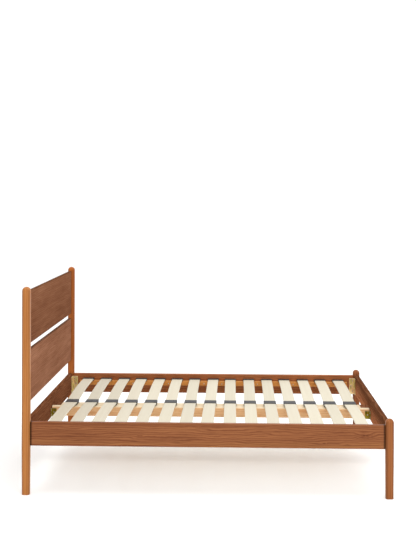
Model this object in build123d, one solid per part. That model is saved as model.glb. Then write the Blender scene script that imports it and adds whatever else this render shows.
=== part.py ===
from build123d import *
import math
import os

# A double bed frame in stained hardwood, with a slatted base in two halves.
# Millimetres. +X runs from the headboard to the foot end, +Z is up, and the
# origin is on the floor, under the middle of the frame.
# "right" is the -Y side and "left" is the +Y side, for someone lying on their back.

# Driving dimensions
BED_LENGTH = 2000.0
BED_WIDTH = 1450.0
HEAD_POST_HEIGHT = 1121.0
FOOT_POST_HEIGHT = 427.0

# Posts
POST_WIDTH = 44.0
POST_CORNER = 13.0
POST_DOME = 21.0
POST_FOOT_WIDTH = 41.0
TAPER_HEIGHT = 255.0

# Rails
RAIL_THICKNESS = 30.0
RAIL_BOTTOM = 263.0
RAIL_TOP = 391.0
RAIL_EDGE = 5.0
SIDE_RAIL_END_EDGE = 3.5
SIDE_RAIL_RECESS = 14.0
END_RAIL_RECESS = 4.0
TENON_LENGTH = 28.0
TENON_HEIGHT = 68.0
TENON_THICKNESS = 14.0
DOWEL_RADIUS = 4.0
DOWEL_LENGTH = 50.0
DOWEL_FROM_EDGE = 16.0

# Headboard planks
PLANK_THICKNESS = 20.0
PLANK_EDGE = 4.0
PLANK_TONGUE = 15.0
LOWER_PLANK_BOTTOM = 482.0
LOWER_PLANK_TOP = 769.0
UPPER_PLANK_BOTTOM = 801.0
UPPER_PLANK_TOP = 1092.5

# Ledgers that carry the outer slat ends
LEDGER_THICKNESS = 24.0
LEDGER_BOTTOM = 318.0
LEDGER_TOP = 349.0
LEDGER_LENGTH = 1824.0
LEDGER_SCREW_GAPS = (0, 2, 4, 6, 7, 9, 11, 13)

# Centre beam and its hangers
BEAM_WIDTH = 116.0
BEAM_BOTTOM = 272.0
BEAM_TOP = 332.0
BEAM_EDGE = 8.0
BEAM_END_GAP = 4.0
TONGUE_LENGTH = 52.0
TONGUE_WIDTH = 28.0
REST_GAP = 0.3
REST_TOP = 331.0
HANGER_GAUGE = 2.0
HANGER_REACH = 31.0
HANGER_FLANGE = 26.0
HANGER_TOP = 320.0
HANGER_SCREW_INSET = 12.0

# Corner brackets
BRACKET_FLANGE = 38.0
BRACKET_GAUGE = 2.5
BRACKET_BOTTOM = 266.0
BRACKET_TOP = 373.0
BRACKET_BEND = 4.0
# (distance from the corner, height above the bracket's bottom)
BRACKET_SIDE_SCREWS = ((15.0, 90.0), (26.0, 56.0), (15.0, 20.0))
BRACKET_END_SCREWS = ((22.0, 74.0), (22.0, 34.0))

# Slats, in pairs that meet over the beam
SLAT_PAIRS = 15
SLAT_PITCH = 121.3
SLAT_MIDDLE_X = 0.0
SLAT_WIDTH = 70.0
SLAT_THICKNESS = 8.0
SLAT_EDGE = 2.0
SLAT_BOW = 11.0
SLAT_INNER_Y = 3.5
SLAT_OUTER_Y = 676.0
SLAT_INNER_Z = 341.5
SLAT_OUTER_Z = 352.0
SLAT_SKEW = 0.22

# Plastic slat holders
HOLDER_WALL = 2.2
POCKET_GAP = 0.3
POCKET_END_GAP = 0.8
HOLDER_HALF_LENGTH = 36.5
HOLDER_BOTTOM = 338.5
HOLDER_TOP = 355.0
PEDESTAL_LENGTH = 44.0
PEDESTAL_WIDTH = 30.0
CAP_INNER_Y = 646.0
CAP_OUTER_Y = 679.0
CAP_TOP = 364.0
PEG_RADIUS = 4.0
PEG_LENGTH = 12.0
PEG_SPACING = 26.0
CAP_PEG_Y = 668.0

# Screws: (head radius, head height, shank radius, shank length)
PLATE_SCREW = (4.5, 2.4, 2.2, 24.0)
LEDGER_SCREW = (4.2, 2.6, 2.0, 38.0)
HOLE_GAP = 0.1

# Derived places
POST_X = BED_LENGTH / 2 - POST_WIDTH / 2
POST_Y = BED_WIDTH / 2 - POST_WIDTH / 2
SIDE_RAIL_Y = BED_WIDTH / 2 - SIDE_RAIL_RECESS - RAIL_THICKNESS / 2
END_RAIL_X = BED_LENGTH / 2 - END_RAIL_RECESS - RAIL_THICKNESS / 2
POST_INNER_X = BED_LENGTH / 2 - POST_WIDTH
POST_INNER_Y = BED_WIDTH / 2 - POST_WIDTH
RAIL_INNER_X = END_RAIL_X - RAIL_THICKNESS / 2
RAIL_INNER_Y = SIDE_RAIL_Y - RAIL_THICKNESS / 2
RAIL_HEIGHT = RAIL_TOP - RAIL_BOTTOM
RAIL_MIDDLE_Z = (RAIL_TOP + RAIL_BOTTOM) / 2
PLANK_X = -END_RAIL_X - RAIL_THICKNESS / 2 + PLANK_THICKNESS / 2
LEDGER_Y = RAIL_INNER_Y - LEDGER_THICKNESS / 2
LEDGER_INNER_Y = RAIL_INNER_Y - LEDGER_THICKNESS
HANGER_INNER_Y = -BEAM_WIDTH / 2 - HOLE_GAP
TONGUE_LEFT_Y = -BEAM_WIDTH / 2 + TONGUE_WIDTH
POCKET_WIDTH = SLAT_WIDTH + 2 * POCKET_GAP
HOLDER_WIDTH = POCKET_WIDTH + 2 * HOLDER_WALL

SIDES = {"right": -1, "left": 1}
ENDS = {"head": -1, "foot": 1}


def block(x_range, y_range, z_range):
    """A box from its low and high coordinates, given in any order."""
    centre = [(a + b) / 2 for a, b in (x_range, y_range, z_range)]
    size = [abs(b - a) for a, b in (x_range, y_range, z_range)]
    return Pos(*centre) * Box(*size)


def round_long_edges(solid, axis, radius):
    return fillet(solid.edges().filter_by(axis), radius)


def rod(start, direction, radius, length):
    """A cylinder that begins at start and runs along direction."""
    plane = Plane(origin=start, z_dir=direction)
    return plane * Cylinder(radius, length, align=(Align.CENTER, Align.CENTER, Align.MIN))


def screw(start, direction, kind, under_head=0.0):
    """A screw whose head stands on start, driven along direction."""
    head_radius, head_height, shank_radius, shank_length = kind
    back = tuple(-d for d in direction)
    head = rod(start, back, head_radius, head_height)
    head = fillet(head.faces().sort_by(Axis(start, back))[-1].edges(), head_height * 0.7)
    recess = rod(tuple(s - d * head_height for s, d in zip(start, direction)), direction,
                 head_radius * 0.35, head_height * 0.5)
    shank = rod(start, direction, shank_radius, shank_length + under_head)
    return head + shank - recess


def screw_hole(start, direction, kind):
    """The hole that a screw's shank fills, a little wider and deeper."""
    return rod(start, direction, kind[2] + HOLE_GAP, kind[3] + 1.0)


def cut(solid, tools):
    for tool in tools:
        solid -= tool
    return solid


# Posts

def dome():
    """The rounded top of a post, lofted from shrinking rounded squares."""
    sections = []
    steps = 7
    for step in range(steps):
        angle = math.radians(82.0) * step / (steps - 1)
        half = POST_WIDTH / 2 * math.cos(angle)
        share = POST_CORNER / (POST_WIDTH / 2)
        corner = half * (share + (0.92 - share) * math.sin(angle))
        level = Plane.XY.offset(POST_DOME * math.sin(angle))
        sections.append(level * RectangleRounded(2 * half, 2 * half, corner))
    return loft(sections)


def post(height):
    square = RectangleRounded(POST_WIDTH, POST_WIDTH, POST_CORNER)
    foot_corner = POST_CORNER * POST_FOOT_WIDTH / POST_WIDTH
    foot = RectangleRounded(POST_FOOT_WIDTH, POST_FOOT_WIDTH, foot_corner)
    shaft_top = height - POST_DOME
    leg = loft([foot, Pos(0, 0, TAPER_HEIGHT) * square])
    shaft = Pos(0, 0, TAPER_HEIGHT) * extrude(square, shaft_top - TAPER_HEIGHT)
    return leg + shaft + Pos(0, 0, shaft_top) * dome()


def tenon(end, side, gap=0.0):
    """The tongue of an end rail that goes into a post, or its mortise when gap is given."""
    half = TENON_THICKNESS / 2 + gap
    x = end * END_RAIL_X
    y = side * (POST_INNER_Y - 1.0)
    y_tip = side * (POST_INNER_Y + TENON_LENGTH + gap)
    z = TENON_HEIGHT / 2 + gap
    return block((x - half, x + half), (y, y_tip), (RAIL_MIDDLE_Z - z, RAIL_MIDDLE_Z + z))


def dowel_places(end, side):
    """Middle points of the two dowels between a post and a side rail."""
    heights = (RAIL_BOTTOM + DOWEL_FROM_EDGE, RAIL_TOP - DOWEL_FROM_EDGE)
    return [(end * POST_INNER_X, side * SIDE_RAIL_Y, z) for z in heights]


def dowel(place, gap=0.0):
    length = DOWEL_LENGTH + 2 * gap
    return Pos(*place) * Rot(0, 90, 0) * Cylinder(DOWEL_RADIUS + gap, length)


def placed_post(end, side):
    height = HEAD_POST_HEIGHT if end < 0 else FOOT_POST_HEIGHT
    solid = Pos(end * POST_X, side * POST_Y, 0) * post(height)
    tools = [tenon(end, side, HOLE_GAP)]
    tools += [dowel(place, HOLE_GAP) for place in dowel_places(end, side)]
    if end < 0:
        tools += [plank_groove(side, *levels) for levels in PLANK_LEVELS.values()]
    return cut(solid, tools)


# Headboard

PLANK_LEVELS = {
    "lower": (LOWER_PLANK_BOTTOM, LOWER_PLANK_TOP),
    "upper": (UPPER_PLANK_BOTTOM, UPPER_PLANK_TOP),
}


def plank_groove(side, bottom, top):
    half = PLANK_THICKNESS / 2 + HOLE_GAP
    y_tip = side * (POST_INNER_Y + PLANK_TONGUE + HOLE_GAP)
    return block((PLANK_X - half, PLANK_X + half), (side * (POST_INNER_Y - 1.0), y_tip),
                 (bottom - HOLE_GAP, top + HOLE_GAP))


def plank(bottom, top):
    half = PLANK_THICKNESS / 2
    reach = POST_INNER_Y + PLANK_TONGUE
    board = block((PLANK_X - half, PLANK_X + half), (-reach, reach), (bottom, top))
    return round_long_edges(board, Axis.Y, PLANK_EDGE)


# Rails

def end_rail(end):
    x = end * END_RAIL_X
    half = RAIL_THICKNESS / 2
    rail = block((x - half, x + half), (-POST_INNER_Y, POST_INNER_Y), (RAIL_BOTTOM, RAIL_TOP))
    rail = round_long_edges(rail, Axis.Y, RAIL_EDGE)
    for side in SIDES.values():
        rail += tenon(end, side)
    tools = [screw_hole(*spot) for spot in hanger_flange_screws(end)]
    tools += [screw_hole(*spot) for side in SIDES.values() for spot in bracket_end_screws(end, side)]
    return cut(rail, tools)


def side_rail(side):
    y = side * SIDE_RAIL_Y
    half = RAIL_THICKNESS / 2
    rail = block((-POST_INNER_X, POST_INNER_X), (y - half, y + half), (RAIL_BOTTOM, RAIL_TOP))
    rail = round_long_edges(rail, Axis.X, RAIL_EDGE)
    for face in (rail.faces().sort_by(Axis.X)[0], rail.faces().sort_by(Axis.X)[-1]):
        rail = fillet(rail.edges().filter_by(lambda edge: abs(edge.center().X - face.center().X) < 0.1),
                      SIDE_RAIL_END_EDGE)
    tools = [screw_hole(*spot) for spot in ledger_screws(side)]
    for end in ENDS.values():
        tools += [dowel(place, HOLE_GAP) for place in dowel_places(end, side)]
        tools += [screw_hole(*spot) for spot in bracket_side_screws(end, side)]
    return cut(rail, tools)


# Ledgers

def ledger_screws(side):
    spots = []
    for gap in LEDGER_SCREW_GAPS:
        x = slat_x(gap + 0.5)
        start = (x, side * LEDGER_INNER_Y, (LEDGER_BOTTOM + LEDGER_TOP) / 2 - 2.0)
        spots.append((start, (0, side, 0), LEDGER_SCREW))
    return spots


def ledger(side):
    half = LEDGER_THICKNESS / 2
    y = side * LEDGER_Y
    batten = block((-LEDGER_LENGTH / 2, LEDGER_LENGTH / 2), (y - half, y + half),
                   (LEDGER_BOTTOM, LEDGER_TOP))
    batten = round_long_edges(batten, Axis.X, 2.0)
    tools = [screw_hole(*spot) for spot in ledger_screws(side)]
    for number in range(SLAT_PAIRS):
        tools.append(turned(number, rod((0, side * CAP_PEG_Y, LEDGER_TOP), (0, 0, -1),
                                        PEG_RADIUS + HOLE_GAP, PEG_LENGTH + 1.0)))
    return cut(batten, tools)


# Centre beam

def beam():
    """The beam, with a narrow tongue left on its right side at each end for the hangers."""
    reach = RAIL_INNER_X - BEAM_END_GAP
    timber = block((-reach, reach), (-BEAM_WIDTH / 2, BEAM_WIDTH / 2), (BEAM_BOTTOM, BEAM_TOP))
    timber = round_long_edges(timber, Axis.X, BEAM_EDGE)
    tools = [screw_hole(*hanger_cheek_screw(end)) for end in ENDS.values()]
    for end in ENDS.values():
        tools.append(block((end * (RAIL_INNER_X - TONGUE_LENGTH), end * BED_LENGTH / 2),
                           (TONGUE_WIDTH - BEAM_WIDTH / 2, BEAM_WIDTH), (0, BED_WIDTH)))
    for number in range(SLAT_PAIRS):
        for x in (-PEG_SPACING / 2, PEG_SPACING / 2):
            tools.append(turned(number, rod((x, 0, BEAM_TOP), (0, 0, -1),
                                            PEG_RADIUS + HOLE_GAP, PEG_LENGTH + 1.0)))
    return cut(timber, tools)


def beam_rest(end):
    """A block glued to the end rail, which fills the step beside the beam's tongue."""
    rest = block((end * (RAIL_INNER_X - TONGUE_LENGTH + 2 * REST_GAP), end * RAIL_INNER_X),
                 (TONGUE_LEFT_Y + REST_GAP, BEAM_WIDTH / 2), (BEAM_BOTTOM, REST_TOP))
    return rest


def hanger_cheek_screw(end):
    x = end * (RAIL_INNER_X - HANGER_REACH / 2)
    z = (BEAM_BOTTOM + HANGER_TOP) / 2
    return (x, HANGER_INNER_Y - HANGER_GAUGE, z), (0, 1, 0), PLATE_SCREW


def hanger_flange_screws(end):
    x = end * (RAIL_INNER_X - HANGER_GAUGE)
    y = HANGER_INNER_Y - HANGER_GAUGE - HANGER_FLANGE / 2
    return [((x, y, z), (end, 0, 0), PLATE_SCREW)
            for z in (BEAM_BOTTOM + HANGER_SCREW_INSET, HANGER_TOP - HANGER_SCREW_INSET)]


def hanger(end):
    """A folded steel hanger: a seat under the tongue, a cheek beside it and a flange on the rail."""
    wall = end * RAIL_INNER_X
    tip = end * (RAIL_INNER_X - HANGER_REACH)
    outer = HANGER_INNER_Y - HANGER_GAUGE
    span = (BEAM_BOTTOM - HANGER_GAUGE, HANGER_TOP)
    folded = block((tip, wall), (outer, TONGUE_LEFT_Y), (span[0], BEAM_BOTTOM))
    folded += block((tip, wall), (HANGER_INNER_Y, outer), span)
    folded += block((wall, wall - end * HANGER_GAUGE), (HANGER_INNER_Y, outer - HANGER_FLANGE), span)
    tools = [screw_hole(*spot) for spot in [hanger_cheek_screw(end)] + hanger_flange_screws(end)]
    return cut(folded, tools)


# Corner brackets

def bracket_side_screws(end, side):
    y = side * (RAIL_INNER_Y - BRACKET_GAUGE)
    return [((end * (RAIL_INNER_X - away), y, BRACKET_BOTTOM + up), (0, side, 0), PLATE_SCREW)
            for away, up in BRACKET_SIDE_SCREWS]


def bracket_end_screws(end, side):
    x = end * (RAIL_INNER_X - BRACKET_GAUGE)
    return [((x, side * (RAIL_INNER_Y - away), BRACKET_BOTTOM + up), (end, 0, 0), PLATE_SCREW)
            for away, up in BRACKET_END_SCREWS]


def bracket(end, side):
    x = end * RAIL_INNER_X
    y = side * RAIL_INNER_Y
    span = (BRACKET_BOTTOM, BRACKET_TOP)
    plate = block((x, x - end * BRACKET_FLANGE), (y, y - side * BRACKET_GAUGE), span)
    plate += block((x, x - end * BRACKET_GAUGE), (y, y - side * BRACKET_FLANGE), span)
    bend = plate.edges().filter_by(Axis.Z).sort_by_distance((x, y, BRACKET_BOTTOM))[0]
    plate = fillet(bend, BRACKET_BEND)
    spots = bracket_side_screws(end, side) + bracket_end_screws(end, side)
    return cut(plate, [screw_hole(*spot) for spot in spots])


# Slats and their holders

def slat_x(number):
    return SLAT_MIDDLE_X + (number - (SLAT_PAIRS - 1) / 2) * SLAT_PITCH


def turned(number, shape):
    """Carry a shape from the bed's middle line to slat pair number, with its small skew."""
    x = slat_x(number)
    skew = SLAT_SKEW * math.sin(2.4 * number + 0.7)
    return Pos(x, 0, 0) * Rot(0, 0, skew) * shape


def bow_points(side):
    """The inner end, the crown and the outer end of a slat's underside, as (y, z)."""
    crown_y = (SLAT_INNER_Y + SLAT_OUTER_Y) / 2
    crown_z = (SLAT_INNER_Z + SLAT_OUTER_Z) / 2 + SLAT_BOW
    points = ((SLAT_INNER_Y, SLAT_INNER_Z), (crown_y, crown_z), (SLAT_OUTER_Y, SLAT_OUTER_Z))
    return [Vector(0, side * y, z) for y, z in points]


def bow_centre(points):
    """The middle of the circle through three points in the YZ plane."""
    first, crown, last = points
    chord = last - first
    across = chord.cross(Vector(1, 0, 0)).normalized()
    rise = abs((crown - first).dot(across))
    run = (crown - first).dot(chord.normalized())
    length = chord.length
    offset = (run * run - run * length + rise * rise) / (2 * rise)
    if (crown - first).dot(across) < 0:
        across = -across
    return first + chord / 2 + across * offset


def slat(number, side):
    """One bowed slat: a flat rounded bar bent round a large circle."""
    points = bow_points(side)
    centre = bow_centre(points)
    outward = (points[0] - centre).normalized()
    plane = Plane(origin=points[0] + outward * SLAT_THICKNESS / 2, x_dir=(1, 0, 0),
                  z_dir=Vector(1, 0, 0).cross(outward))
    section = plane * RectangleRounded(SLAT_WIDTH, SLAT_THICKNESS, SLAT_EDGE)
    turn = (points[0] - centre).get_angle(points[2] - centre)
    return turned(number, revolve(section, Axis(centre, (1, 0, 0)), -side * turn))


def pocket(side):
    """The space in a holder for a slat's end, a little larger than the slat."""
    first, crown, last = bow_points(side)
    down = Vector(0, 0, -POCKET_GAP)
    out = Vector(0, side * POCKET_END_GAP, 0)
    low = [first + down - out, crown + down, last + down + out]
    high = [point + Vector(0, 0, SLAT_THICKNESS + 2 * POCKET_GAP) for point in low]
    outline = ThreePointArc([(p.Y, p.Z) for p in low]) + Line((low[2].Y, low[2].Z), (high[2].Y, high[2].Z))
    outline += ThreePointArc([(p.Y, p.Z) for p in reversed(high)])
    outline += Line((high[0].Y, high[0].Z), (low[0].Y, low[0].Z))
    return extrude(Plane.YZ.offset(-POCKET_WIDTH / 2) * make_face(outline), POCKET_WIDTH)


def double_holder(number):
    half = HOLDER_WIDTH / 2
    body = block((-half, half), (-HOLDER_HALF_LENGTH, HOLDER_HALF_LENGTH), (HOLDER_BOTTOM, HOLDER_TOP))
    body = round_long_edges(body, Axis.Y, 2.0)
    for side in SIDES.values():
        body -= pocket(side)
    foot = block((-PEDESTAL_LENGTH / 2, PEDESTAL_LENGTH / 2), (-PEDESTAL_WIDTH / 2, PEDESTAL_WIDTH / 2),
                 (BEAM_TOP, HOLDER_BOTTOM))
    body += foot
    for x in (-PEG_SPACING / 2, PEG_SPACING / 2):
        body += rod((x, 0, BEAM_TOP), (0, 0, -1), PEG_RADIUS, PEG_LENGTH)
    return turned(number, body)


def end_cap(number, side):
    half = HOLDER_WIDTH / 2
    body = block((-half, half), (side * CAP_INNER_Y, side * CAP_OUTER_Y), (LEDGER_TOP, CAP_TOP))
    body = round_long_edges(body, Axis.Y, 2.0)
    body -= pocket(side)
    body += rod((0, side * CAP_PEG_Y, LEDGER_TOP), (0, 0, -1), PEG_RADIUS, PEG_LENGTH)
    return turned(number, body)


# Every node, by name

def all_nodes():
    nodes = {}
    for end_name, end in ENDS.items():
        for side_name, side in SIDES.items():
            nodes[f"{end_name}_post_{side_name}"] = placed_post(end, side)
            nodes[f"corner_bracket_{end_name}_{side_name}"] = bracket(end, side)
        nodes[f"{end_name}_rail"] = end_rail(end)
        nodes[f"beam_hanger_{end_name}"] = hanger(end)
        nodes[f"beam_rest_{end_name}"] = beam_rest(end)
    for level_name, levels in PLANK_LEVELS.items():
        nodes[f"headboard_plank_{level_name}"] = plank(*levels)
    nodes["centre_beam"] = beam()
    pairs = range(SLAT_PAIRS)
    for side_name, side in SIDES.items():
        nodes[f"side_rail_{side_name}"] = side_rail(side)
        nodes[f"slat_ledger_{side_name}"] = ledger(side)
        nodes[f"slat_end_caps_{side_name}"] = Compound([end_cap(number, side) for number in pairs])
        for number in pairs:
            nodes[f"slat_{side_name}_{number + 1:02d}"] = slat(number, side)
    nodes["slat_double_holders"] = Compound([double_holder(number) for number in pairs])
    corners = [(end, side) for end in ENDS.values() for side in SIDES.values()]
    nodes["rail_dowels"] = Compound([dowel(place) for corner in corners for place in dowel_places(*corner)])
    nodes["bracket_screws"] = Compound([screw(*spot) for corner in corners for spot in
                                        bracket_side_screws(*corner) + bracket_end_screws(*corner)])
    nodes["hanger_screws"] = Compound([screw(*spot) for end in ENDS.values() for spot in
                                       [hanger_cheek_screw(end)] + hanger_flange_screws(end)])
    nodes["ledger_screws"] = Compound([screw(*spot) for side in SIDES.values()
                                       for spot in ledger_screws(side)])
    return nodes


os.makedirs("parts", exist_ok=True)
for node_name, shape in all_nodes().items():
    export_step(shape, f"parts/{node_name}.step")
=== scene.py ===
import math

import bpy
from mathutils import Matrix, Vector


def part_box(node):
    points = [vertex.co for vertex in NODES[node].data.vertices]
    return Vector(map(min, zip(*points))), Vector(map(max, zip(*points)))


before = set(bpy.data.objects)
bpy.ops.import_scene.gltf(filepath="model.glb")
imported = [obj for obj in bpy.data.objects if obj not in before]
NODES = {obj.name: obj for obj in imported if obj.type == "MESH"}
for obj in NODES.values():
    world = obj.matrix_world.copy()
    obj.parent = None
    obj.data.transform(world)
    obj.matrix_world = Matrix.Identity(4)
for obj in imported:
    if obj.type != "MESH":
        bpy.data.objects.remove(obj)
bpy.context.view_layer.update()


# Shader building

class Socket:
    """One value in a finish. Python's operators on it add the Math nodes."""

    def __init__(self, finish, link):
        self.finish = finish
        self.link = link

    def math(self, operation, *others):
        values = dict(enumerate((self, *others)))
        return self.finish.node("ShaderNodeMath", {"operation": operation}, values)[0]

    def __add__(self, other):
        return self.math("ADD", other)

    def __sub__(self, other):
        return self.math("SUBTRACT", other)

    def __mul__(self, other):
        return self.math("MULTIPLY", other)

    def __truediv__(self, other):
        return self.math("DIVIDE", other)

    def __pow__(self, other):
        return self.math("POWER", other)

    def __neg__(self):
        return self.math("MULTIPLY", -1.0)

    def __abs__(self):
        return self.math("ABSOLUTE")

    def __rsub__(self, other):
        return -self + other

    def __rtruediv__(self, other):
        return self.math("POWER", -1.0) * other

    __radd__ = __add__
    __rmul__ = __mul__

    def floor(self):
        return self.math("FLOOR")

    def sine(self):
        return self.math("SINE")

    def fraction(self):
        return self.math("FRACT")

    def at_most(self, other):
        return self.math("MINIMUM", other)

    def at_least(self, other):
        return self.math("MAXIMUM", other)

    def above(self, other):
        return self.math("GREATER_THAN", other)

    def rise(self, low, high, bottom=0.0, top=1.0):
        """Smoothly from bottom to top while this value goes from low to high."""
        settings = {"interpolation_type": "SMOOTHSTEP"}
        values = {"Value": self, "From Min": low, "From Max": high, "To Min": bottom, "To Max": top}
        return self.finish.node("ShaderNodeMapRange", settings, values)[0]


class Finish:
    """A material being made, from one Principled shader."""

    def __init__(self, name):
        self.material = bpy.data.materials.new(name)
        self.material.use_nodes = True
        self.tree = self.material.node_tree
        self.shader = self.tree.nodes["Principled BSDF"]
        place = self.node("ShaderNodeTexCoord", {}, {})["Object"]
        self.place = place
        self.x, self.y, self.z = self.node("ShaderNodeSeparateXYZ", {}, {"Vector": place})[0:3]

    def node(self, kind, settings, values):
        """Any node: its kind, then its settings, then the values or links of its sockets."""
        made = self.tree.nodes.new(kind)
        for name, setting in settings.items():
            if name == "stops":
                self.set_stops(made.color_ramp, setting)
            else:
                setattr(made, name, setting)
        for name, value in values.items():
            self.feed(made.inputs[name], value)
        return Outputs(self, made)

    def set_stops(self, ramp, stops):
        while len(ramp.elements) < len(stops):
            ramp.elements.new(1.0)
        for element, (position, colour) in zip(ramp.elements, stops):
            element.position = position
            element.color = (*colour, 1.0)

    def feed(self, target, value):
        if isinstance(value, Socket):
            self.tree.links.new(value.link, target)
        elif target.type == "RGBA":
            target.default_value = (*value, 1.0)
        else:
            target.default_value = value

    def point(self, x, y, z):
        return self.node("ShaderNodeCombineXYZ", {}, {"X": x, "Y": y, "Z": z})[0]

    def noise(self, where, detail=2.0, roughness=0.5, scale=1.0, distortion=0.0):
        """Noise about its middle, from about -1 to 1."""
        values = {"Vector": where, "Scale": scale, "Detail": detail,
                  "Roughness": roughness, "Distortion": distortion}
        return self.node("ShaderNodeTexNoise", {}, values)[0] * 2.0 - 1.0

    def chance(self, where):
        """A number from 0 to 1 that is the same wherever the point is the same."""
        return self.node("ShaderNodeTexWhiteNoise", {"noise_dimensions": "3D"}, {"Vector": where})[0]

    def ramp(self, value, stops):
        return self.node("ShaderNodeValToRGB", {"stops": stops}, {"Fac": value})["Color"]

    def mix(self, first, second, share):
        """The first colour, going over to the second as share goes from 0 to 1."""
        values = {"Factor": share, 6: first, 7: second}
        return self.node("ShaderNodeMix", {"data_type": "RGBA"}, values)[2]

    def tint(self, colour, amount):
        """A colour made lighter or darker by a factor that varies."""
        parts = {"Red": amount, "Green": amount, "Blue": amount}
        values = {"Factor": 1.0, 6: colour, 7: self.node("ShaderNodeCombineColor", {}, parts)[0]}
        return self.node("ShaderNodeMix", {"data_type": "RGBA", "blend_type": "MULTIPLY"}, values)[2]

    def finished(self, colour, roughness, height, depth, **constants):
        """Link the colour, the roughness and a bump of that depth in metres."""
        bump = self.node("ShaderNodeBump", {}, {"Height": height, "Distance": depth, "Strength": 1.0})
        self.feed(self.shader.inputs["Base Color"], colour)
        self.feed(self.shader.inputs["Roughness"], roughness)
        self.feed(self.shader.inputs["Normal"], bump[0])
        for name, value in constants.items():
            self.shader.inputs[name.replace("_", " ")].default_value = value
        return self.material


class Outputs:
    """A node's outputs, by name or number."""

    def __init__(self, finish, made):
        self.finish = finish
        self.made = made

    def __getitem__(self, key):
        if isinstance(key, slice):
            return [Socket(self.finish, out) for out in self.made.outputs[key]]
        return Socket(self.finish, self.made.outputs[key])


def srgb(red, green, blue):
    """A screen colour from 0 to 255 as the linear colour that shaders use."""
    def linear(part):
        part /= 255.0
        return part / 12.92 if part <= 0.04045 else ((part + 0.055) / 1.055) ** 2.4
    return linear(red), linear(green), linear(blue)


# Woods

# How deep the bump goes, in metres
STAINED_DEPTH = 0.00018
SAWN_DEPTH = 0.0002
VENEER_DEPTH = 0.00012

# Distances over which the painted shade, the ledgers' wear and the beam's top colour fade, in metres
ARRIS_FADE = (0.003, 0.012)
BOARD_END_FADE = (0.005, 0.014)
TOP_FADE = (0.0045, 0.002)
WORN_FADE = (0.0005, 0.003)
BEAM_TOP_FADE = (0.007, 0.002)


class Board:
    """A board's own directions, in metres: along the grain, across the face and through it."""

    def __init__(self, finish, grain, box):
        low, high = box
        places = (finish.x, finish.y, finish.z)
        along, wide, thin = {"x": (0, 1, 2), "y": (1, 0, 2), "z": (2, 0, 1)}[grain]
        if high[wide] - low[wide] < high[thin] - low[thin]:
            wide, thin = thin, wide
        self.finish = finish
        self.along, self.across, self.through = places[along], places[wide], places[thin]
        self.start, self.stop = low[along], high[along]
        self.bottom, self.top = low[wide], high[wide]
        from_faces = [(places[axis] - low[axis]).at_most(high[axis] - places[axis]) for axis in (wide, thin)]
        self.from_arris = from_faces[0].at_least(from_faces[1])

    def waves(self, lengthwise, crosswise, detail=2.0, roughness=0.5, start=0.0, depth=0.0, bend=0.0):
        """Noise drawn out along the grain, with about that many waves a metre each way."""
        where = self.finish.point(self.along * lengthwise + start,
                                  (self.across + bend) * crosswise,
                                  self.through * crosswise + depth)
        return self.finish.noise(where, detail, roughness)

    def fibres(self, lengthwise, crosswise, **places):
        return self.waves(lengthwise, crosswise, 4.0, 0.65, **places)


def round_knots(board, level, knots):
    """Bend the rings' level round each knot, and give how dark the rays make the wood there."""
    dark = 0.0
    for (along, up), (half_length, half_height), strength in knots:
        off_along = (board.along - along) * (1.0 / half_length)
        off_up = (board.across - up) * (1.0 / half_height)
        near = 1 - ((off_along ** 2.0 + off_up ** 2.0) ** 0.5).rise(0.0, 1.0)
        slant = board.finish.point(board.along * 60.0 + board.across * 130.0,
                                   board.across * 30.0 - board.along * 40.0, 5.0)
        rays = board.finish.noise(slant, 3.0, 0.6)
        level = level + near * 1.6 * strength
        dark = dark + near * (0.35 + rays.rise(-0.1, 0.5)) * strength
    return level, dark


def rail_band(board, colour, stripe, golden_tone, red_tone, band):
    """A golden lower part, a redder line under the top edge, and painted shade at the ends where the rail meets
    the posts.
    """
    finish = board.finish
    height = (board.across - board.bottom) / (board.top - board.bottom)
    golden = (1 - height.rise(0.16, 0.34)) * stripe.rise(-0.35, 0.45)
    colour = finish.mix(colour, golden_tone, golden * 0.45 * band)
    redder = height.rise(0.82, 0.93) * (1 - height.rise(0.97, 1.0))
    colour = finish.mix(colour, red_tone, redder * 0.35 * band)
    # painted shade in the joints, darkening the rail towards each end
    from_end = (board.along - board.start).at_most(board.stop - board.along)
    return finish.tint(colour, from_end.rise(*BOARD_END_FADE) * 0.76 + 0.24)


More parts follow.
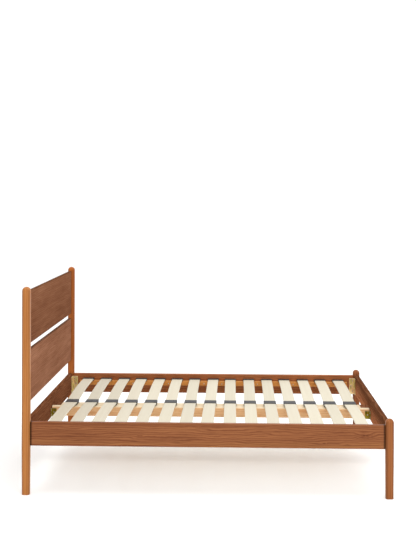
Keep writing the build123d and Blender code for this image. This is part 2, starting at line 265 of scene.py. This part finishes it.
def walnut_stain(name, grain, box, seed, tones, lit, figure=1.0, streak=0.5, painted_edge_shade=0.0,
                 band=0.0, mottled=0.4, top_shade=0.0, painted_bounce_glow=0.0, knots=(), gloss=0.1, coat=0.0):
    """Stained hardwood.

    tones are the screen colours, from dark to light, that the board is to come out at in the main
    view. lit is how much the room brightens its red, green and blue there, set by trial. The band
    option gives a golden lower part, a redder line under the top edge and painted shade at the
    ends where the rail meets the posts. The other shading options are painted light: a painted
    glow of bounce light that is brightest at the bottom, painted shade on the top face and painted
    shade along the rounded corners.
    """
    finish = Finish(name)
    board = Board(finish, grain, box)
    shift = 7.31 * seed
    slow = board.waves(4.0, 22.0, start=shift, depth=seed)
    small = board.waves(14.0, 60.0, start=shift)
    wide = board.waves(1.4, 9.0, start=shift, depth=seed)

    level = board.across * 90.0 + board.through * 38.0 + slow * 1.8 * figure + small * 0.5 + shift
    level, ray_shade = round_knots(board, level, knots)
    rings = level.fraction()
    late = rings.rise(0.30, 0.86) * (1 - rings.rise(0.88, 1.0))

    bend = slow * 0.006 * figure
    fibre = board.fibres(9.0, 430.0, start=shift, bend=bend)
    stripe = board.waves(1.1, 120.0, 3.0, 0.6, start=shift, bend=bend)
    mottle = board.waves(4.0, 30.0, 3.0, 0.6, start=-shift)
    dark = board.waves(2.2, 85.0, 2.0, 0.55, start=-shift, bend=bend).rise(0.22, 0.62) * streak
    pores = board.waves(75.0, 2100.0, 1.0, start=shift).rise(0.28, 0.5)

    shade = 0.56 + stripe * (0.30 - mottled * 0.2) + fibre * 0.15 + wide * (0.10 + mottled * 0.14)
    shade = shade + mottle * (0.05 + mottled * 0.22) - late * 0.28 * figure - ray_shade * 0.34
    bases = [tuple(part / light for part, light in zip(srgb(*tone), lit)) for tone in tones]
    colour = finish.ramp(shade, list(zip((0.0, 0.32, 0.58, 0.8, 1.0), bases)))
    colour = finish.mix(colour, bases[0], (dark * 0.55 + pores * 0.22).at_most(1.0))
    if band:
        colour = rail_band(board, colour, stripe, bases[4], bases[1], band)
    # painted light: a glow of bounce light, brightest at the bottom of the board
    if painted_bounce_glow:
        painted_glow_height = (board.top - board.bottom) * 0.9
        painted_glow = (board.across - board.bottom).rise(0.0, painted_glow_height, 1.0 + painted_bounce_glow, 1.0)
        colour = finish.tint(colour, painted_glow)
    # painted shade on the top face
    if top_shade:
        top = finish.z.rise(*(box[1][2] - below for below in TOP_FADE))
        colour = finish.tint(colour, 1.0 - top * top_shade)
    # painted shade along the rounded corners
    if painted_edge_shade:
        colour = finish.tint(colour, board.from_arris.rise(*ARRIS_FADE) * painted_edge_shade + (1.0 - painted_edge_shade))
    rough = 0.42 + fibre * 0.07 + pores * 0.16 + mottle * 0.05
    height = fibre * 0.35 - pores * 1.0 - late * 0.2
    return finish.finished(colour, rough, height, STAINED_DEPTH, Coat_Weight=coat, Coat_Roughness=0.22,
                           Specular_IOR_Level=gloss)


def ledger_stain(name, box, seed):
    """Orange-stained battens, paler where the arrises have worn."""
    finish = Finish(name)
    board = Board(finish, "x", box)
    fibre = board.fibres(8.0, 380.0, start=seed)
    band = board.waves(1.5, 60.0, start=seed)
    stops = [
        (0.0, (0.26, 0.095, 0.022)),
        (0.5, (0.46, 0.18, 0.040)),
        (1.0, (0.64, 0.30, 0.085)),
    ]
    colour = finish.ramp(0.5 + band * 0.3 + fibre * 0.22, stops)
    worn = 1 - board.from_arris.rise(*WORN_FADE)
    colour = finish.mix(colour, (0.70, 0.42, 0.20), worn * 0.3)
    return finish.finished(colour, 0.52 + fibre * 0.1, fibre, SAWN_DEPTH, Specular_IOR_Level=0.1)


def softwood(name, box):
    """Planed pine: a cream top, orange rings and knots on the sides, and a few resin flecks."""
    finish = Finish(name)
    board = Board(finish, "x", box)
    sway = board.waves(2.4, 16.0, 3.0)
    small = board.waves(17.0, 60.0)
    rings = (finish.z * 105.0 + finish.y * 17.0 + sway * 1.9 + small * 0.4).fraction()
    late = rings.rise(0.35, 0.9) * (1 - rings.rise(0.9, 1.0))
    fibre = board.fibres(9.0, 500.0)
    blotch = board.waves(7.0, 22.0)
    knot = board.waves(8.5, 14.0, 1.0, start=4.0).rise(0.36, 0.62)
    top = finish.mix((0.74, 0.60, 0.41), (0.62, 0.43, 0.23), late * 0.45)
    flank_shade = late * 0.55 + blotch.rise(0.0, 0.6) * 0.35 + knot * 0.5
    flank = finish.mix((0.80, 0.50, 0.26), (0.52, 0.19, 0.05), flank_shade.at_most(1.0))
    side = 1 - finish.z.rise(*(box[1][2] - below for below in BEAM_TOP_FADE))
    colour = finish.mix(top, flank, side)
    colour = finish.tint(colour, 0.90 + fibre * 0.10 + blotch * 0.06)
    fleck = board.waves(40.0, 900.0, 1.0).rise(0.45, 0.6)
    colour = finish.mix(colour, (0.42, 0.23, 0.09), fleck * 0.4)
    return finish.finished(colour, 0.55 + fibre * 0.1, fibre - late * 0.5, SAWN_DEPTH,
                           Specular_IOR_Level=0.15)


def layered_birch(name, pitch, middle):
    """Pale veneered slats, each one a little different, with thin layers along the sides and the sides made
    paler, partly the pale ply edges and partly a painted highlight.
    """
    finish = Finish(name)
    x, y, z = finish.x, finish.y, finish.z
    number = ((x - middle) / pitch + 0.5).floor()
    side = y.above(0.0)
    luck = finish.chance(finish.point(number, side, 3.0))
    luck_two = finish.chance(finish.point(number, side, 8.0))
    fibre = finish.noise(finish.point(x * 420.0, y * 8.0 + luck * 30.0, z * 420.0), 4.0, 0.65)
    sway = finish.noise(finish.point(x * 12.0 + luck * 40.0, y * 2.2, luck_two * 9.0), 3.0)
    cross = x + sway * 0.012
    band = finish.noise(finish.point(cross * 75.0 + luck * 90.0, y * 1.4, luck_two * 5.0), 2.0, 0.55)
    fleck = finish.noise(finish.point(x * 1500.0, y * 130.0 + luck * 9.0, 0.0), 1.0).rise(0.3, 0.6)
    layers = (z * 640.0).sine().rise(-0.2, 0.6)
    facing = finish.node("ShaderNodeNewGeometry", {}, {})["Normal"]
    facing_up = abs(finish.node("ShaderNodeSeparateXYZ", {}, {"Vector": facing})["Z"])
    flank = 1 - facing_up.rise(0.2, 0.6)
    banding = (0.36 + band * 0.45).at_least(0.0) * 0.8
    colour = finish.mix((0.640, 0.592, 0.470), (0.540, 0.475, 0.350), banding)
    colour = finish.mix(colour, (0.41, 0.33, 0.22), fleck * 0.25)
    # the side faces paler: the pale ply edges and a painted highlight
    colour = finish.mix(colour, (0.78, 0.75, 0.60), flank * (0.75 - layers * 0.3))
    colour = finish.tint(colour, 0.80 + luck * 0.10 + fibre * 0.04)
    return finish.finished(colour, 0.50 + fibre * 0.08 + fleck * 0.06, fibre, VENEER_DEPTH,
                           Specular_IOR_Level=0.2)


def plain_beech(name):
    finish = Finish(name)
    fibre = finish.noise(finish.point(finish.x * 12.0, finish.y * 500.0, finish.z * 500.0), 3.0, 0.6)
    colour = finish.tint((0.62, 0.43, 0.26), 1.0 + fibre * 0.12)
    return finish.finished(colour, 0.6 + fibre * 0.08, fibre, SAWN_DEPTH)


# Plastic and metal

PLASTIC_DEPTH = 0.00008
BRACKET_DEPTH = 0.00006
SCREW_DEPTH = 0.00005
FLOOR_DEPTH = 0.0002
EDGE_HIGHLIGHT_FADE = (0.002, 0.006)


def moulded_plastic(name):
    finish = Finish(name)
    grain = finish.noise(finish.place, scale=900.0)
    rub = finish.noise(finish.place, 3.0, 0.6, scale=60.0).rise(0.0, 0.6)
    dust = finish.noise(finish.place, 4.0, 0.6, scale=22.0).rise(0.0, 0.7)
    colour = finish.mix((0.026, 0.025, 0.028), (0.060, 0.057, 0.058), dust * 0.5)
    return finish.finished(colour, 0.46 + rub * 0.14 + grain * 0.04, grain, PLASTIC_DEPTH,
                           Specular_IOR_Level=0.2)


def yellow_zinc(name, stops, box, painted_edge_highlight):
    """Yellow passivated zinc: brassy, with upright streaks of olive and pink, and a painted highlight along the
    top and bottom edges.
    """
    finish = Finish(name)
    upright = finish.point(finish.x * 85.0, finish.y * 85.0, finish.z * 17.0)
    cloud = finish.noise(upright, 3.0, 0.6, distortion=0.5)
    other = finish.noise(finish.place, scale=31.0, distortion=0.4)
    stroke = finish.noise(finish.point(finish.x * 700.0, finish.y * 700.0, finish.z * 60.0))
    colour = finish.ramp(0.5 + cloud * 1.3, [(step, srgb(*tone)) for step, tone in stops])
    colour = finish.tint(colour, 0.97 + other * 0.16 + stroke * 0.06)
    # painted highlight along the top and bottom edges
    highlight_edges = (finish.z - box[0][2]).at_most(box[1][2] - finish.z).rise(*EDGE_HIGHLIGHT_FADE)
    colour = finish.mix(colour, (0.86, 0.82, 0.62), (1 - highlight_edges) * painted_edge_highlight)
    rough = 0.36 + other * 0.08 + stroke * 0.05
    return finish.finished(colour, rough, stroke, BRACKET_DEPTH, Metallic=0.75)


def zinc_steel(name):
    finish = Finish(name)
    cloud = finish.noise(finish.place, 3.0, 0.55, scale=160.0)
    turned = finish.noise(finish.place, scale=1400.0)
    colour = finish.mix((0.50, 0.42, 0.33), (0.30, 0.22, 0.16), cloud.rise(-0.4, 0.6))
    return finish.finished(colour, 0.38 + turned * 0.08, turned, SCREW_DEPTH, Metallic=0.9)


def pale_floor(name):
    finish = Finish(name)
    cloud = finish.noise(finish.place, 3.0, scale=0.8)
    grit = finish.noise(finish.place, scale=60.0)
    colour = finish.tint((0.96, 0.96, 0.955), 1.0 + cloud * 0.008)
    return finish.finished(colour, 0.75 + grit * 0.05, grit, FLOOR_DEPTH)


# What each node is finished with

def paint(finish, *names):
    for name in names:
        node = NODES[name]
        node.data.materials.clear()
        node.data.materials.append(finish)


RAIL_TONES = ((96, 54, 32), (134, 80, 50), (160, 102, 65), (180, 120, 76), (198, 140, 84))
POST_TONES = ((120, 62, 28), (160, 98, 52), (187, 123, 72), (208, 146, 92), (226, 170, 116))
FAR_POST_TONES = ((92, 46, 24), (126, 68, 38), (149, 85, 50), (168, 102, 62), (190, 126, 80))
PLANK_TONES = ((88, 50, 34), (116, 72, 50), (140, 92, 67), (160, 112, 84), (178, 132, 102))
END_RAIL_TONES = ((70, 38, 24), (98, 58, 38), (124, 80, 56), (144, 100, 74), (164, 120, 92))

# (along and up, half length and half height, strength), in metres
KNOTS = (((0.85, 0.335), (0.085, 0.034), 1.0), ((0.63, 0.292), (0.022, 0.007), 0.7),
         ((-0.36, 0.322), (0.030, 0.006), 0.6))

NEAR_RAIL = {"streak": 0.4, "band": 1.0, "gloss": 0.06, "knots": KNOTS}
FAR_RAIL = {"gloss": 0.08}
HEAD_RAIL = {"gloss": 0.0, "top_shade": 0.1, "painted_bounce_glow": 0.1}
FOOT_RAIL = {"gloss": 0.0, "top_shade": 0.1, "painted_bounce_glow": 2.2}
REST = {"gloss": 0.0}
UPPER_PLANK = {"gloss": 0.0, "figure": 0.5, "mottled": 0.7, "top_shade": 0.4}
LOWER_PLANK = {**UPPER_PLANK, "top_shade": 0.5}
NEAR_POST = {"figure": 0.35, "painted_edge_shade": 0.3, "mottled": 0.0, "gloss": 0.14, "coat": 0.06}
FAR_POST = {**NEAR_POST, "gloss": 0.06, "coat": 0.02}

# Each board's grain, tones, gain of red, green and blue, and look. The order sets the seeds.
WALNUT = {
    "side_rail_right": ("x", RAIL_TONES, (1.45, 1.50, 1.53), NEAR_RAIL),
    "side_rail_left": ("x", RAIL_TONES, (1.17, 1.31, 1.56), FAR_RAIL),
    "head_rail": ("y", END_RAIL_TONES, (1.12, 1.14, 1.22), HEAD_RAIL),
    "foot_rail": ("y", END_RAIL_TONES, (1.37, 1.38, 1.47), FOOT_RAIL),
    "beam_rest_head": ("y", END_RAIL_TONES, (1.37, 1.38, 1.47), REST),
    "beam_rest_foot": ("y", END_RAIL_TONES, (1.05, 1.02, 1.0), REST),
    "headboard_plank_upper": ("y", PLANK_TONES, (1.38, 1.34, 1.34), UPPER_PLANK),
    "headboard_plank_lower": ("y", PLANK_TONES, (1.02, 0.93, 0.86), LOWER_PLANK),
    "head_post_right": ("z", POST_TONES, (1.30, 1.37, 1.85), NEAR_POST),
    "foot_post_right": ("z", POST_TONES, (1.92, 2.32, 2.95), NEAR_POST),
    "head_post_left": ("z", FAR_POST_TONES, (0.87, 0.90, 1.50), FAR_POST),
    "foot_post_left": ("z", FAR_POST_TONES, (1.25, 1.12, 1.05), FAR_POST),
}


def finish_woods():
    for number, (name, (grain, tones, lit, look)) in enumerate(WALNUT.items()):
        paint(walnut_stain(f"walnut_{name}", grain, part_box(name), 1.0 + number, tones, lit, **look), name)
    for number, side in enumerate(("right", "left")):
        name = f"slat_ledger_{side}"
        paint(ledger_stain(f"ledger_stain_{side}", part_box(name), 2.7 * number), name)
    paint(softwood("planed_pine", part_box("centre_beam")), "centre_beam")
    slats = [name for name in NODES if name.startswith(("slat_right_", "slat_left_"))]
    gaps = len(slats) // 2 - 1
    first, last = [(low[0] + high[0]) / 2 for low, high in (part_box("slat_right_01"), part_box("slat_right_15"))]
    paint(layered_birch("layered_birch", (last - first) / gaps, first), *slats)
    paint(plain_beech("beech_dowel"), "rail_dowels")


BRACKET_TONES = ((0.0, (120, 112, 40)), (0.28, (186, 172, 92)), (0.5, (228, 212, 150)),
                 (0.72, (222, 174, 128)), (1.0, (158, 156, 84)))
HANGER_TONES = ((0.0, (92, 78, 10)), (0.35, (130, 116, 14)), (0.6, (150, 136, 34)),
                (0.85, (146, 92, 30)), (1.0, (124, 138, 44)))


def finish_fittings():
    holders = ("slat_end_caps_right", "slat_end_caps_left", "slat_double_holders")
    paint(moulded_plastic("holder_plastic"), *holders)
    for name in NODES:
        if name.startswith("corner_bracket_"):
            paint(yellow_zinc(f"yellow_zinc_{name}", BRACKET_TONES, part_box(name), 0.5), name)
        if name.startswith("beam_hanger_"):
            paint(yellow_zinc(f"yellow_zinc_{name}", HANGER_TONES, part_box(name), 0.2), name)
    paint(zinc_steel("screw_zinc"), "bracket_screws", "hanger_screws", "ledger_screws")


# Room, light and camera, in metres, watts and degrees

FLOOR_HALF = 40.0
WORLD_STRENGTH = 1.15
OVERHEAD_POWER = 90.0
FRONT_POWER = 60.0

CAMERA_PLACE = (0.149, -5.7911, 1.6245)
CAMERA_TURN = 1.629
CAMERA_ROLL = 0.158
CAMERA_LENS = 61.364
CAMERA_SHIFT = (-0.0006, -0.1501)


def add_floor():
    corners = [(-FLOOR_HALF, -FLOOR_HALF, 0), (FLOOR_HALF, -FLOOR_HALF, 0),
               (FLOOR_HALF, FLOOR_HALF, 0), (-FLOOR_HALF, FLOOR_HALF, 0)]
    mesh = bpy.data.meshes.new("floor")
    mesh.from_pydata(corners, [], [(0, 1, 2, 3)])
    floor = bpy.data.objects.new("floor", mesh)
    bpy.context.scene.collection.objects.link(floor)
    mesh.materials.append(pale_floor("pale_floor"))


def add_soft_light(name, place, aim, size, power):
    lamp = bpy.data.lights.new(name, "AREA")
    lamp.shape = "RECTANGLE"
    lamp.size, lamp.size_y = size
    lamp.energy = power
    holder = bpy.data.objects.new(name, lamp)
    holder.location = place
    holder.rotation_euler = (Vector(aim) - Vector(place)).to_track_quat("-Z", "Y").to_euler()
    bpy.context.scene.collection.objects.link(holder)


def light_room():
    world = bpy.data.worlds.new("studio")
    world.use_nodes = True
    background = world.node_tree.nodes["Background"]
    background.inputs["Color"].default_value = (1.0, 1.0, 1.0, 1.0)
    background.inputs["Strength"].default_value = WORLD_STRENGTH
    bpy.context.scene.world = world
    add_soft_light("overhead", (0.3, -0.6, 4.2), (0.0, 0.0, 0.3), (3.0, 2.6), OVERHEAD_POWER)
    add_soft_light("front", (1.6, -5.2, 2.6), (0.0, 0.0, 0.4), (2.6, 1.8), FRONT_POWER)
    bpy.context.scene.view_settings.view_transform = "Standard"
    bpy.context.scene.view_settings.look = "None"


def place_camera():
    """A level camera beyond the right-hand side, turned a little towards the head and rolled a little."""
    camera = bpy.data.cameras.new("camera")
    camera.lens = CAMERA_LENS
    camera.sensor_width = 36.0
    camera.shift_x, camera.shift_y = CAMERA_SHIFT
    camera.clip_end = 200.0
    holder = bpy.data.objects.new("camera", camera)
    turn = math.radians(CAMERA_TURN)
    roll = math.radians(CAMERA_ROLL)
    ahead = Vector((-math.sin(turn), math.cos(turn), 0.0))
    level = Vector((math.cos(turn), math.sin(turn), 0.0))
    upright = Vector((0.0, 0.0, 1.0))
    right = level * math.cos(roll) + upright * math.sin(roll)
    up = upright * math.cos(roll) - level * math.sin(roll)
    turned = Matrix((right, up, -ahead)).transposed().to_4x4()
    holder.matrix_world = Matrix.Translation(CAMERA_PLACE) @ turned
    bpy.context.scene.collection.objects.link(holder)
    bpy.context.scene.camera = holder


finish_woods()
finish_fittings()
add_floor()
light_room()
place_camera()
